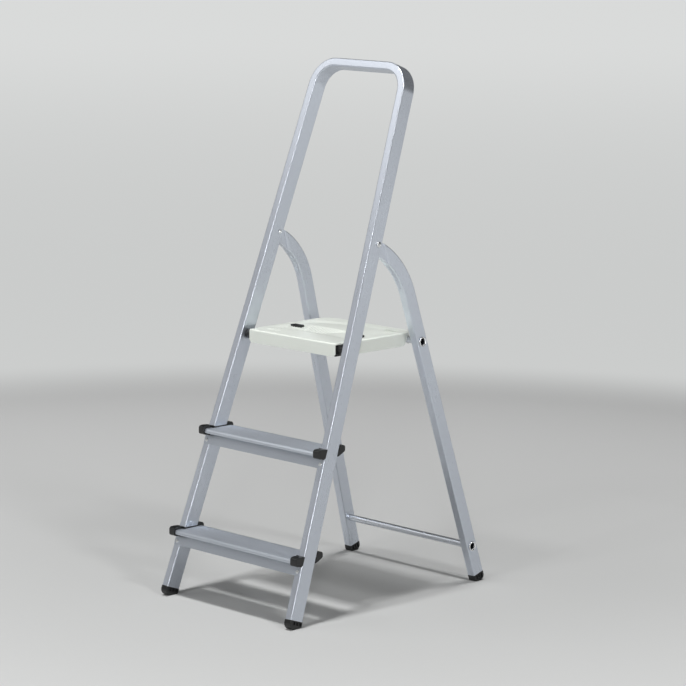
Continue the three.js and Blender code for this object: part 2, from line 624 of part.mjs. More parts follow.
makeFrontFrame();
for (const entry of SIDES) {
  makeHinge(entry);
  makeFeet(entry);
  makeLeg(entry);
  makePivotBlock(entry);
  makeBlockRivet(entry);
  makePlug(entry);
}
for (const tread of TREADS) {
  makeTread(tread);
  makeTreadRivets(tread);
  for (const entry of SIDES) makeCap(tread, entry);
}
makeCrossTube('lower_cross_tube', LOWER_TUBE_ALONG);
makeCrossTube('upper_cross_tube', UPPER_TUBE_ALONG);
makeTray();

const footprint = new THREE.Box3().setFromObject(model);
model.position.y = -(footprint.min.y + footprint.max.y) / 2;

export default model;
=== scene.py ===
"""A folding aluminium step stool.

It has a bent stile-and-rail tube, ribbed treads, a folding rear frame and a lift-up tray.
Lengths are millimetres while a piece is drawn and metres once it is a mesh. Every piece is drawn in
the frame of the member it belongs to: a stile, a leg, a tread or the platform.
"""

import math

import bmesh
import bpy
from mathutils import Matrix, Vector


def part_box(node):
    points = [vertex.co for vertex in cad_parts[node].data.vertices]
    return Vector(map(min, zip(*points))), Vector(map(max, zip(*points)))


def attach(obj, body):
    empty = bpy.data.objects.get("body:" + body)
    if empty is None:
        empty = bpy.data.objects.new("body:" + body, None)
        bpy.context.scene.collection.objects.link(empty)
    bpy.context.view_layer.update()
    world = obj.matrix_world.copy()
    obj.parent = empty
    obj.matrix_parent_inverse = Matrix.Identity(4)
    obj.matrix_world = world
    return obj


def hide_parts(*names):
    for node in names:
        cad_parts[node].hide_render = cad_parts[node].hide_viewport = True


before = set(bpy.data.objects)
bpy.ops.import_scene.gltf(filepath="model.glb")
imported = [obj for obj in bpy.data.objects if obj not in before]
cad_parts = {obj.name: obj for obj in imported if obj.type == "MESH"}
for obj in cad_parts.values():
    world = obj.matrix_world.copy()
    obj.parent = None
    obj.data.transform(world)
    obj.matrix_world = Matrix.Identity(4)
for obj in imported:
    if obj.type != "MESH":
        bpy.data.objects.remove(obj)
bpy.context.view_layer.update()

# ------------------------------------------------------------------------------------------------
# Sizes, the same as the solids' own

MM = 0.001
SIDES = {"left": -1, "right": 1}

FRONT_LEAN = math.radians(19.6)
FRONT_HALF = 219.8
FRONT_TAPER = 0.0508
STILE_WIDTH, STILE_DEPTH, STILE_WALL, STILE_ROUND = 20.0, 40.0, 1.4, 3.0
RAIL_END, RAIL_BEND = 1346.4, 70.0
FRONT_CUT = 27.5

REAR_LEAN = math.radians(17)
REAR_FOOT_Y = 642.2
REAR_HALF = 221.5
REAR_TAPER = 0.0521
LEG_WIDTH, LEG_DEPTH, LEG_ROUND = 22.0, 33.0, 2.5
REAR_CUT = 15.5
ARM_START, ARM_RADIUS, ARM_END = 754.0, 215.0, math.radians(51)
TONGUE, CREASE, CREASE_RUN = 14.0, -28.4, 3.0

HINGE_ALONG, HINGE_DEPTH = 916.0, 28.6
SLOT_LOW, SLOT_HIGH, SLOT_WIDTH, SLOT_ROUND = 868.0, 938.0, 15.4, 3.0
TUBE_RADIUS, TUBE_WALL, TUBE_DEPTH = 8.0, 1.5, 16.5
LOWER_TUBE_ALONG, UPPER_TUBE_ALONG = 89.8, 633.5

TREADS = {"lower": 158.6, "upper": 394.7}
NOSE_REACH, NOSE_HEIGHT, TREAD_BACK, TREAD_SKIN = 26.0, 10.0, 57.0, 2.0
APRON_DROP, NOSE_INSET, STRIP, GAP = 38.2, 16.0, 2.0, 0.3
CAP_BOTTOM = -15.0

PLATFORM_TOP, PLATFORM_HALF, PLATFORM_FRONT, PLATFORM_BACK = 629.3, 148.5, 223.0, 493.0
PLATFORM_FRONT_HALF = 143.0
PLATFORM_ALONG = 658.7
TRAY_HEIGHT, TRAY_SKIN, TRAY_ROUND, TRAY_CORNER = 32.0, 1.5, 4.0, 40.0
PLUG_X, PLUG_Y, PLUG_LENGTH, PLUG_WIDTH = 100.0, 342.0, 36.0, 20.0
FLANGE_START = 29.0
SADDLE_RADIUS = 10.5
BEYOND = 260.0   # past the side of the stool, for the tools that trim a piece's ends

FRONT_SPLAY, REAR_SPLAY = math.atan(FRONT_TAPER), math.atan(REAR_TAPER)
# where the stiles' front plane meets the floor
FLOOR_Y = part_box("platform_tray")[0].y / MM - PLATFORM_FRONT


def turn(angle, axis):
    return Matrix.Rotation(angle, 4, axis)


def shift(x=0.0, y=0.0, z=0.0):
    return Matrix.Translation((x, y, z))


STOOL = shift(y=FLOOR_Y)
FRONT = STOOL @ turn(-FRONT_LEAN, "X")
REAR = STOOL @ shift(y=REAR_FOOT_Y) @ turn(REAR_LEAN, "X")
STILE = {n: FRONT @ shift(x=s * FRONT_HALF) @ turn(-s * FRONT_SPLAY, "Y") for n, s in SIDES.items()}
LEG = {n: REAR @ shift(x=s * REAR_HALF) @ turn(-s * REAR_SPLAY, "Y") for n, s in SIDES.items()}
DECK = {n: STOOL @ shift(y=h * math.tan(FRONT_LEAN), z=h) for n, h in TREADS.items()}


def stile_outer(along):
    return FRONT_HALF - FRONT_TAPER * along


def stile_inner(along):
    return stile_outer(along) - STILE_WIDTH / math.cos(FRONT_SPLAY)


def deck_along(tread):
    return TREADS[tread] / math.cos(FRONT_LEAN)


def linked(name, data):
    """A new object in the scene."""
    thing = bpy.data.objects.new(name, data)
    bpy.context.scene.collection.objects.link(thing)
    return thing


# ------------------------------------------------------------------------------------------------
# Camera, light and floor

CAMERA_PLACE = Vector((4471.2, -4229.3 + FLOOR_Y, 1704.0)) * MM
CAMERA_AZIMUTH, CAMERA_ELEVATION, CAMERA_ROLL = map(math.radians, (44.024, 9.801, 0.540))
CAMERA_LENS, CAMERA_REACH = 142.88, 200

FLOOR_RADIUS, FLOOR_SIDES = 60, 64
SKY_COLOUR, SKY_AS_LIGHT, SKY_AS_SEEN = (0.98, 0.99, 1.0), 0.04, 0.68

# name, azimuth from the front and elevation in degrees, metres away, width and height, watts, aim
STOOL_MIDDLE, TREADS_FRONT = (0, 0, 0.4), (0, -0.42, 0)
LAMPS = (
    ("top", 0, 90, 5.0, (0.4, 0.4), 142, TREADS_FRONT),
    ("front", 0, 52, 4.6, (0.5, 0.5), 27, STOOL_MIDDLE),
    ("side", 83, 40, 4.6, (0.6, 0.6), 40, STOOL_MIDDLE),
    ("right", 70, 10, 8.0, (2.0, 3.0), 20, STOOL_MIDDLE),
    ("corner", 43, 18, 8.0, (0.5, 4.0), 130, STOOL_MIDDLE),
    ("near", 10, 20, 8.0, (2.0, 3.0), 44, STOOL_MIDDLE),
    ("left", -44, 37, 7.0, (4.0, 2.6), 54, STOOL_MIDDLE),
    ("low_left", -50, 12, 6.5, (3.0, 1.6), 8, STOOL_MIDDLE),
    ("right_back", 128, 5, 7.0, (3.0, 2.0), 8, STOOL_MIDDLE),
)


def make_camera():
    data = bpy.data.cameras.new("camera")
    data.lens = CAMERA_LENS
    data.clip_end = CAMERA_REACH
    camera = linked("camera", data)
    level = turn(CAMERA_AZIMUTH, "Z") @ turn(math.pi / 2 - CAMERA_ELEVATION, "X")
    camera.matrix_world = Matrix.Translation(CAMERA_PLACE) @ level @ turn(CAMERA_ROLL, "Z")
    bpy.context.scene.camera = camera


def lamp(name, azimuth, elevation, distance, size, power, aim):
    """A soft box that faces its target."""
    data = bpy.data.lights.new(name, "AREA")
    data.shape = "RECTANGLE"
    data.size, data.size_y = size
    data.energy = power
    light = linked(name, data)
    facing = turn(math.radians(azimuth), "Z") @ turn(math.radians(90 - elevation), "X")
    light.matrix_world = Matrix.Translation(Vector(aim)) @ facing @ shift(z=distance)


def make_studio():
    """A wide round floor. Its paper fades into plain light a few metres out, all round the stool."""
    mesh = bmesh.new()
    bmesh.ops.create_circle(mesh, cap_ends=True, segments=FLOOR_SIDES, radius=FLOOR_RADIUS)
    data = bpy.data.meshes.new("studio")
    mesh.to_mesh(data)
    mesh.free()
    studio = linked("studio", data)
    return studio


def make_lights():
    world = bpy.data.worlds.new("studio")
    bpy.context.scene.world = world
    world.use_nodes = True
    nodes, links = world.node_tree.nodes, world.node_tree.links
    nodes["Background"].inputs["Color"].default_value = (*SKY_COLOUR, 1)
    seen = nodes.new("ShaderNodeMapRange")
    seen.inputs["To Min"].default_value = SKY_AS_LIGHT
    seen.inputs["To Max"].default_value = SKY_AS_SEEN
    links.new(nodes.new("ShaderNodeLightPath").outputs["Is Camera Ray"], seen.inputs["Value"])
    links.new(seen.outputs["Result"], nodes["Background"].inputs["Strength"])
    for settings in LAMPS:
        lamp(*settings)
    bpy.context.scene.view_settings.view_transform = "Standard"


make_camera()
studio = make_studio()
make_lights()


# ------------------------------------------------------------------------------------------------
# Materials: numbers on sockets, and patterns written as expressions


class Wire:
    """A shader value. Arithmetic on it adds Math nodes to its tree."""

    def __init__(self, tree, socket):
        self.tree, self.socket = tree, socket

    def math(self, operation, *others):
        return self.tree.node("ShaderNodeMath", {"operation": operation}, self, *others)

    def __add__(self, other):
        return self.math("ADD", other)

    def __sub__(self, other):
        return self.math("SUBTRACT", other)

    def __rsub__(self, other):
        return self.tree.node("ShaderNodeMath", {"operation": "SUBTRACT"}, other, self)

    def __mul__(self, other):
        return self.math("MULTIPLY", other)

    __radd__ = __add__
    __rmul__ = __mul__

    def fade(self, low, high):
        """0 below low and 1 above high, smooth between."""
        return self.tree.node(
            "ShaderNodeMapRange", {"interpolation_type": "SMOOTHSTEP"}, self, low, high, 0.0, 1.0)


class Finish:
    """One material and its node tree."""

    def __init__(self, name, colour, **sockets):
        self.material = bpy.data.materials.new(name)
        self.material.use_nodes = True
        self.material.diffuse_color = (*colour, 1)
        self.nodes = self.material.node_tree.nodes
        self.links = self.material.node_tree.links
        self.shader = self.nodes["Principled BSDF"]
        self.set("Base Color", (*colour, 1))
        for socket, value in sockets.items():
            self.set(socket.replace("_", " "), value)

    def put(self, socket, value):
        if isinstance(value, Wire):
            self.links.new(value.socket, socket)
        else:
            socket.default_value = value

    def set(self, socket, value):
        self.put(self.shader.inputs[socket], value)

    def node(self, kind, settings=None, *values, out=0, **named):
        made = self.nodes.new(kind)
        for key, value in (settings or {}).items():
            setattr(made, key, value)
        for socket, value in zip(made.inputs, values):
            self.put(socket, value)
        for name, value in named.items():
            self.put(made.inputs[name.replace("_", " ")], value)
        return Wire(self, made.outputs[out])

    def place(self, lean=0.0, scale=(1, 1, 1)):
        """Object coordinates, turned back by a member's lean, then stretched."""
        here = self.node("ShaderNodeTexCoord", out="Object")
        turned = self.node("ShaderNodeMapping", None, here, (0, 0, 0), (lean, 0, 0), (1, 1, 1))
        return self.node("ShaderNodeMapping", None, turned, (0, 0, 0), (0, 0, 0), scale)

    def noise(self, vector, scale, detail=3.0, roughness=0.5):
        return self.node(
            "ShaderNodeTexNoise", None, Vector=vector, Scale=scale, Detail=detail, Roughness=roughness)

    def mix(self, amount, low, high):
        made = self.nodes.new("ShaderNodeMix")
        made.data_type = "RGBA"
        self.put(made.inputs["Factor"], amount)
        for key, value in (("A", low), ("B", high)):
            colour = value if isinstance(value, Wire) else (*value, 1)
            self.put(next(s for s in made.inputs if s.name == key and s.type == "RGBA"), colour)
        return Wire(self, next(s for s in made.outputs if s.type == "RGBA"))

    def bump(self, height, strength, distance):
        self.set("Normal", self.node(
            "ShaderNodeBump", None, Strength=strength, Distance=distance, Height=height))


LINE_DEPTH, GRAIN_DEPTH = 0.0002, 0.0003   # metres of relief
# painted shade for a tube's bore, and a painted highlight for its flared rim
BORE_PAINTED_SHADE, RIM_PAINTED_HIGHLIGHT = (0.012, 0.014, 0.018), (0.93, 0.94, 0.95)


def drawn_aluminium(name, colour, lean, scale, metallic, rough, contrast=0.05, bore=False):
    """Extruded and anodised: fine lines along the member, a slow drift of tone and a few faint rubs.

    A tube's bore is painted near black as painted shade and made rougher, and its flared rim is painted
    bright as a painted highlight and made a little smoother.
    """
    f = Finish(name, colour, Metallic=metallic)
    lines = f.noise(f.place(lean, scale), 1.0, 4.0, 0.6)
    drift = f.noise(f.place(), 5.0, 2.0)
    rubs = f.noise(f.place(), 38.0, 5.0, 0.7).fade(0.62, 0.74)
    dark = [c * (1 - contrast) for c in colour]
    light = [min(1.0, c * (1 + contrast)) for c in colour]
    tone = f.mix(lines * 0.6 + drift * 0.4, dark, light)
    roughness = rough + (lines - 0.5) * 0.16 + (drift - 0.5) * 0.08 + rubs * 0.06
    # painted shade: the bore is painted near black; painted highlight: the flared rim is painted bright
    if bore:
        inside = f.node("ShaderNodeAttribute", {"attribute_name": "bore"}, out="Fac")
        rim = f.node("ShaderNodeAttribute", {"attribute_name": "rim"}, out="Fac")
        tone = f.mix(rim, f.mix(inside, tone, BORE_PAINTED_SHADE), RIM_PAINTED_HIGHLIGHT)
        roughness = roughness + inside * 0.4 - rim * 0.06
    f.set("Base Color", tone)
    f.set("Roughness", roughness)
    f.bump(lines, 0.10, LINE_DEPTH)
    return f.material


def moulded_plastic(name, colour, rough, grain):
    """Matte moulding with a fine spark-eroded grain and a little dust."""
    f = Finish(name, colour)
    grains = f.noise(f.place(), 1400.0, 2.0)
    dust = f.noise(f.place(), 60.0, 4.0, 0.65).fade(0.5, 0.8)
    f.set("Base Color", f.mix(dust * 0.5, colour, [c * 1.6 + 0.006 for c in colour]))
    f.set("Roughness", rough + (grains - 0.5) * 0.12 + dust * 0.1)
    f.bump(grains, grain, GRAIN_DEPTH)
    return f.material


def powder_coat(name, colour):
    """White powder coat: orange peel, a soft gloss and faint scuffs where feet land."""
    f = Finish(name, colour, Coat_Weight=0.15)
    peel = f.noise(f.place(), 420.0, 2.0)
    scuffs = f.noise(f.place(0.0, (1, 2.5, 1)), 26.0, 6.0, 0.7).fade(0.58, 0.72)
    f.set("Base Color", f.mix(scuffs * 0.25, colour, [c * 0.93 for c in colour]))
    f.set("Roughness", 0.36 + (peel - 0.5) * 0.1 + scuffs * 0.12)
    f.bump(peel, 0.12, GRAIN_DEPTH)
    return f.material


def bright_steel(name, colour):
    """Rivets: bright steel with small dents from the setting tool."""
    f = Finish(name, colour, Metallic=1.0)
    dents = f.noise(f.place(), 520.0, 3.0)
    f.set("Base Color", f.mix(dents, [c * 0.9 for c in colour], colour))
    f.set("Roughness", 0.24 + dents * 0.16)
    f.bump(dents, 0.25, GRAIN_DEPTH)
    return f.material


# metres from the stool: where the paper's painted lightening runs, where it ends, and where the light rises
PAPER_PAINTED_LIGHTENING, PAPER_END, LIGHT_RISE = (0.2, 2.5), (2.45, 3.15), (2.5, 22.0)
UNLIT = (0.04, 0.04, 0.04)


def studio_paper(name, middle, edge, near, far):
    """Matte paper round the stool, painted lighter from the middle to the edge as painted light, and plain
    light beyond it that rises a little with distance.
    """
    f = Finish(name, middle, Roughness=0.9, Emission_Strength=1.0)
    here = f.node("ShaderNodeTexCoord", out="Object")
    radius = f.node("ShaderNodeVectorMath", {"operation": "LENGTH"}, here, out="Value")
    beyond = radius.fade(*PAPER_END)
    # painted light: the paper is painted lighter from the middle out to the edge
    f.set("Base Color", f.mix(beyond, f.mix(radius.fade(*PAPER_PAINTED_LIGHTENING), middle, edge), UNLIT))
    f.set("Emission Color", f.mix(beyond, (0, 0, 0), f.mix(radius.fade(*LIGHT_RISE), near, far)))
    return f.material


ALONG_MEMBER = (900, 900, 14)
ALONG_TREAD = (10, 900, 900)
ANODISED = (0.63, 0.67, 0.74)
FINISHES = {
    "front_alloy": drawn_aluminium("front_alloy", ANODISED, FRONT_LEAN, ALONG_MEMBER, 0.82, 0.30),
    "rear_alloy": drawn_aluminium("rear_alloy", ANODISED, -REAR_LEAN, ALONG_MEMBER, 0.82, 0.30),
    "tread_alloy": drawn_aluminium("tread_alloy", (0.57, 0.61, 0.67), 0.0, ALONG_TREAD, 0.78, 0.33, 0.14),
    "tube_alloy": drawn_aluminium("tube_alloy", (0.66, 0.69, 0.74), 0.0, ALONG_TREAD, 0.82, 0.28, bore=True),
    "plastic": moulded_plastic("plastic", (0.011, 0.0115, 0.012), 0.34, 0.10),
    "nylon": moulded_plastic("nylon", (0.72, 0.71, 0.66), 0.5, 0.06),
    "enamel": powder_coat("enamel", (0.79, 0.825, 0.77)),
    "steel": bright_steel("steel", (0.86, 0.88, 0.89)),
}
# the paper's edge tone is painted lighter than its middle, as painted light
studio.data.materials.append(studio_paper(
    "studio", middle=(0.56, 0.565, 0.56), edge=(0.80, 0.805, 0.80),
    near=(0.57, 0.58, 0.575), far=(0.69, 0.70, 0.695)))


# ------------------------------------------------------------------------------------------------
# Meshes


def bevel_run(corner, before, after, radius, steps):
    """Points of a round corner between two edges of an outline."""
    a = (Vector(before) - Vector(corner)).normalized()
    b = (Vector(after) - Vector(corner)).normalized()
    half = a.angle(b) / 2
    reach = radius / math.tan(half)
    centre = Vector(corner) + (a + b).normalized() * radius / math.sin(half)
    start = Vector(corner) + a * reach - centre
    end = Vector(corner) + b * reach - centre
    span = start.angle(end)
    return [centre + (start * math.sin(span * (1 - t)) + end * math.sin(span * t)) / math.sin(span)
            for t in (i / steps for i in range(steps + 1))]


def rounded(points, radii, steps=6):
    """A closed outline with a radius at each corner."""
    outline = []
    for i, point in enumerate(points):
        radius = radii[i] if isinstance(radii, (list, tuple)) else radii
        if radius <= 0:
            outline.append(Vector(point))
        else:
            outline += bevel_run(point, points[i - 1], points[(i + 1) % len(points)], radius, steps)
    return outline


def new_mesh(name, verts, faces, place):
    """A mesh in metres whose faces point outwards."""
    mesh = bmesh.new()
    made = [mesh.verts.new(place @ Vector(v) * MM) for v in verts]
    for face in faces:
        mesh.faces.new([made[i] for i in face])
    bmesh.ops.recalc_face_normals(mesh, faces=mesh.faces)
    data = bpy.data.meshes.new(name)
    mesh.to_mesh(data)
    mesh.free()
    return linked(name, data)


def loft(rings, closed=False, wrap=True):
    """Faces between rings of as many points each.

    The two ends are filled unless the loft is closed. Without wrap the rings stay open.
    """
    count = len(rings[0])
    sides = count if wrap else count - 1
    verts = [v for ring in rings for v in ring]
    faces = []
    for r in range(len(rings) if closed else len(rings) - 1):
        a, b = r * count, (r + 1) % len(rings) * count
        faces += [(a + i, a + (i + 1) % count, b + (i + 1) % count, b + i) for i in range(sides)]
    if not closed:
        faces += [tuple(range(count)), tuple(range(len(verts) - count, len(verts)))]
    return verts, faces


def prism(name, outline, x0, x1, place):
    """A side view, drawn in (y, z), run along x."""
    return new_mesh(name, *loft([[(x, y, z) for y, z in outline] for x in (x0, x1)]), place)


def block(name, low, high, place=Matrix()):
    (x0, y0, z0), (x1, y1, z1) = low, high
    return prism(name, [(y0, z0), (y1, z0), (y1, z1), (y0, z1)], x0, x1, place)


def lathe(name, profile, place, segments=48, closed=False):
    """A profile of (radius, along), turned round the place's x axis."""
    rings = []
    for step in range(segments):
        angle = 2 * math.pi * step / segments
        rings.append([(along, radius * math.cos(angle), radius * math.sin(angle))
                      for radius, along in profile])
    thing = new_mesh(name, *loft(rings, closed=True, wrap=closed), place)
    mesh = bmesh.new()
    mesh.from_mesh(thing.data)
    bmesh.ops.remove_doubles(mesh, verts=mesh.verts, dist=1e-7)
    bmesh.ops.recalc_face_normals(mesh, faces=mesh.faces)
    mesh.to_mesh(thing.data)
    mesh.free()
    return thing


def soften(thing, width, segments=3, angle=30):
    """Round the edges sharper than the angle."""
    bevel = thing.modifiers.new("edges", "BEVEL")
    bevel.width = width * MM
    bevel.segments = segments
    bevel.limit_method = "ANGLE"
    bevel.angle_limit = math.radians(angle)
    bevel.use_clamp_overlap = True


def carve(thing, *tools):
    """Take the tools away from the piece."""
    for tool in tools:
        cut = thing.modifiers.new("cut", "BOOLEAN")
        cut.operation = "DIFFERENCE"
        cut.solver = "EXACT"
        cut.object = tool


def keep_result(thing):
    """Make the piece's mesh what its modifiers leave, and drop them."""
    seen = thing.evaluated_get(bpy.context.evaluated_depsgraph_get())
    data = bpy.data.meshes.new_from_object(seen)
    thing.modifiers.clear()
    thing.data = data
    return data


def settle(thing, tools=(), angle=32):
    """Apply every modifier, drop the tools and shade by angle."""
    data = keep_result(thing)
    data.name = thing.name
    for tool in tools:
        bpy.data.objects.remove(tool)
    data.shade_smooth()
    data.set_sharp_from_angle(angle=math.radians(angle))
    return thing


def weigh(thing):
    """Let the large flat faces keep their own normals."""
    weights = thing.modifiers.new("weights", "WEIGHTED_NORMAL")
    weights.keep_sharp = True
    keep_result(thing)


def finished(thing, finish, body, *nodes):
    """Give a piece its finish and its body, in place of these solids."""
    weigh(thing)
    thing.data.materials.clear()
    thing.data.materials.append(FINISHES[finish])
    for face in thing.data.polygons:
        face.material_index = 0
    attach(thing, body)
    if nodes:
        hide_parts(*nodes)
    return thing


# ------------------------------------------------------------------------------------------------
# Geometry Nodes: rows of bars, and copies of a shape on points


class Tree:
    """A Geometry Nodes tree in the making."""

    def __init__(self, name, **inputs):
        self.group = bpy.data.node_groups.new(name, "GeometryNodeTree")
        self.group.interface.new_socket("Geometry", in_out="INPUT", socket_type="NodeSocketGeometry")
        self.group.interface.new_socket("Geometry", in_out="OUTPUT", socket_type="NodeSocketGeometry")
        for label, kind in inputs.items():
            self.group.interface.new_socket(
                label.replace("_", " "), in_out="INPUT", socket_type=f"NodeSocket{kind}")
        self.start = self.group.nodes.new("NodeGroupInput")
        self.end = self.group.nodes.new("NodeGroupOutput")

    def given(self, label):
        return self.start.outputs[label]

    def node(self, kind, settings=None, out=0, **values):
        made = self.group.nodes.new(kind)
        for key, value in (settings or {}).items():
            setattr(made, key, value)
        for label, value in values.items():
            socket = made.inputs[label.replace("_", " ")]
            if isinstance(value, bpy.types.NodeSocket):
                self.group.links.new(value, socket)
            else:
                socket.default_value = value
        return made.outputs[out]

    def finish(self, geometry):
        real = self.node("GeometryNodeRealizeInstances", Geometry=geometry)
        painted = self.node("GeometryNodeSetMaterial", Geometry=real, Material=self.given("Finish"))
        self.group.links.new(painted, self.end.inputs[0])
        return self.group


def row_tree():
    """Copies of a shape in straight rows: a count, a step and a start."""
    tree = Tree("row", Shape="Object", Count="Int", Step="Vector", Start="Vector",
                Rows="Int", Row_Step="Vector", Finish="Material")
    line = tree.node("GeometryNodeMeshLine", {"mode": "OFFSET"}, Count=tree.given("Count"),
                     Start_Location=tree.given("Start"), Offset=tree.given("Step"))
    rows = tree.node("GeometryNodeMeshLine", {"mode": "OFFSET"}, Count=tree.given("Rows"),
                     Offset=tree.given("Row Step"))
    grid = tree.node("GeometryNodeRealizeInstances",
                     Geometry=tree.node("GeometryNodeInstanceOnPoints", Points=rows, Instance=line))
    shape = tree.node("GeometryNodeObjectInfo", {"transform_space": "ORIGINAL"}, out="Geometry",
                      Object=tree.given("Shape"))
    return tree.finish(tree.node("GeometryNodeInstanceOnPoints", Points=grid, Instance=shape))


ROWS = row_tree()


def grow(name, group, finish, **inputs):
    """Run a tree and keep its result as a plain mesh."""
    thing = linked(name, bpy.data.meshes.new(name))
    modifier = thing.modifiers.new("grow", "NODES")
    modifier.node_group = group
    sockets = {s.name: s.identifier for s in group.interface.items_tree if s.in_out == "INPUT"}
    modifier[sockets["Finish"]] = FINISHES[finish]
    for label, value in inputs.items():
        modifier[sockets[label.replace("_", " ")]] = value
    keep_result(thing)
    return thing


def row_of(name, shape, finish, count, step, start, rows=1, row_step=(0, 0, 0), place=Matrix()):
    """Rows of a small shape, in millimetres in a member's frame."""
    base = place.to_3x3()
    thing = grow(name, ROWS, finish, Shape=shape, Count=count, Step=base @ Vector(step) * MM,
                 Start=place @ Vector(start) * MM, Rows=rows, Row_Step=base @ Vector(row_step) * MM)
    bpy.data.objects.remove(shape)
    thing.data.shade_smooth()
    thing.data.set_sharp_from_angle(angle=math.radians(40))
    return thing


def merge(name, *things):
    """One mesh out of several pieces."""
    mesh = bmesh.new()
    for thing in things:
        mesh.from_mesh(thing.data)
        bpy.data.objects.remove(thing)
    data = bpy.data.meshes.new(name)
    mesh.to_mesh(data)
    mesh.free()
    return linked(name, data)


# ------------------------------------------------------------------------------------------------
# Front frame


def across(side, a, b):
    """An x span measured inwards from a member's outer face."""
    return (-b, -a) if side > 0 else (a, b)


def section(width, depth, radius, inset=0.0):
    """A tube's section as (inwards, back), round at its corners."""
    low, wide, deep = inset, width - inset, depth - inset
    return rounded([(low, low), (wide, low), (wide, deep), (low, deep)], max(radius - inset, 0.8), 5)


def rail_stations(steps=20):
    """Points of the front frame's outer edge in its plane, with the outward direction at each."""
    centre_z = RAIL_END - RAIL_BEND
    centre_x = stile_outer(centre_z) - RAIL_BEND / math.cos(FRONT_SPLAY)
    stations = []
    outward = Vector((math.cos(FRONT_SPLAY), math.sin(FRONT_SPLAY)))
    upward = Vector((-math.sin(FRONT_SPLAY), math.cos(FRONT_SPLAY)))
    foot = Vector((FRONT_HALF, 0)) + upward * FRONT_CUT
    stations.append((foot, outward))
    for step in range(steps + 1):
        angle = FRONT_SPLAY + (math.pi / 2 - FRONT_SPLAY) * step / steps
        normal = Vector((math.cos(angle), math.sin(angle)))
        stations.append((Vector((centre_x, centre_z)) + normal * RAIL_BEND, normal))
    mirror = [(Vector((-p.x, p.y)), Vector((-n.x, n.y))) for p, n in reversed(stations)]
    return stations + mirror


def tube_shell(name, stations, outer, inner, place):
    """A hollow tube along stations. Each station turns a section point into a place in the member's frame."""
    rings = [[station(a, t) for a, t in outer] for station in stations]
    bores = [[station(a, t) for a, t in inner] for station in reversed(stations)]
    return new_mesh(name, *loft(rings + bores, closed=True), place)


def make_front_tube():
    def at(point, normal):
        return lambda a, t: (point.x - normal.x * a, t, point.y - normal.y * a)

    stations = [at(*station) for station in rail_stations()]
    outer = section(STILE_WIDTH, STILE_DEPTH, STILE_ROUND)
    inner = section(STILE_WIDTH, STILE_DEPTH, STILE_ROUND, STILE_WALL)
    tube = tube_shell("front_tube", stations, outer, inner, FRONT)
    tools = []
    for name, side in SIDES.items():
        x0, x1 = across(side, (STILE_WIDTH - SLOT_WIDTH) / 2, (STILE_WIDTH + SLOT_WIDTH) / 2)
        outline = rounded([(x0, SLOT_LOW), (x1, SLOT_LOW), (x1, SLOT_HIGH), (x0, SLOT_HIGH)], SLOT_ROUND)
        rings = [[(x, y, z) for x, z in outline] for y in (STILE_DEPTH - 4, STILE_DEPTH + 4)]
        tools.append(new_mesh("slot_tool", *loft(rings), STILE[name]))
    carve(tube, *tools)
    finished(settle(tube, tools), "front_alloy", "front_frame", "front_frame_tube")


def dome(radius, height, base=0.0, flange=0.7, dimple=0.0, steps=8):
    """A rivet head's profile, from its axis down to its base."""
    points = []
    if dimple:
        points += [(0, base + height - dimple), (radius * 0.22, base + height - dimple),
                   (radius * 0.32, base + height - 0.1)]
    else:
        points.append((0, base + height))
    first = 0.42 if dimple else 0.12
    for step in range(steps + 1):
        r = first + (1 - first) * step / steps
        points.append((radius * r, base + flange + (height - flange) * math.sqrt(max(0.0, 1 - r * r))))
    points += [(radius, base), (0, base)]
    return points


def make_hinge(name, side):
    """The rivet: a domed head outside and a rolled rim inside."""
    axis = STILE[name] @ shift(0, HINGE_DEPTH, HINGE_ALONG / math.cos(FRONT_SPLAY)) @ turn(
        0 if side > 0 else math.pi, "Z")
    head = lathe("head", dome(7.0, 3.4, GAP, dimple=0.9), axis)
    shank = lathe("shank", [(0, -STILE_WIDTH - 1), (3.0, -STILE_WIDTH - 1), (3.0, 1), (0, 1)], axis, 32)
    rim = [(1.7, 2.0), (2.4, 2.6), (3.6, 2.5), (4.5, 1.6), (4.7, GAP), (1.7, GAP)]
    tail = lathe("tail", [(radius, -STILE_WIDTH - past) for radius, past in rim], axis, 40, closed=True)
    rivet = settle(merge(f"hinge_rivet_{name}_set", head, shank, tail))
    finished(rivet, "steel", "front_frame", f"hinge_rivet_{name}")


# ------------------------------------------------------------------------------------------------
# Feet


POCKET, POCKET_TOP, POCKET_RIBS = 3.2, 2.6, 2


def sole_outline(depth, top, slope, radii):
    """Side view of a foot: square to the tube above, level with the floor below."""
    return rounded([(0, top), (0, 0), (depth, depth * slope), (depth, top)], radii, 10)


def make_foot(kind, name, side, place, width, depth, top, slope, radii, pocket, body):
    """A plug's sole with a pocket in each cheek and upright ribs across the pocket."""
    x0, x1 = across(side, 0, width)
    foot = prism(f"{kind}_foot_{name}_sole", sole_outline(depth, top - GAP, slope, radii), x0, x1, place)
    soften(foot, 1.0, 3)
    ground = block("ground", (-600, -900, -60), (600, 900, 0))
    front, back, low = pocket
    floor = max(front * slope, back * slope)
    ceiling = top - POCKET_TOP
    outline = rounded(
        [(front, ceiling), (front, low + floor), (back, low + back * slope), (back, ceiling)], 0.6, 3)
    tools = [ground]
    for start in (across(side, -2, POCKET), across(side, width - POCKET, width + 2)):
        tools.append(prism("pocket", outline, *start, place))
    carve(foot, *tools)
    settle(foot, tools)
    ribs = []
    step = (back - front) / (POCKET_RIBS + 1)
    height = top - 2.4 - low - floor
    rib_outline = rounded([(-1, 0), (1, 0), (1, height), (-1, height)], 0.3, 2)
    for inwards in (POCKET / 2 + 0.3, width - POCKET / 2 - 0.3):
        rib = prism("rib", rib_outline, -POCKET / 2, POCKET / 2, place.to_3x3().to_4x4())
        ribs.append(row_of("ribs", rib, "plastic", POCKET_RIBS, (0, step, 0),
                           (-side * inwards, front + step, low + floor), place=place))
    finished(merge(foot.name, foot, *ribs), "plastic", body, f"{kind}_foot_{name}")


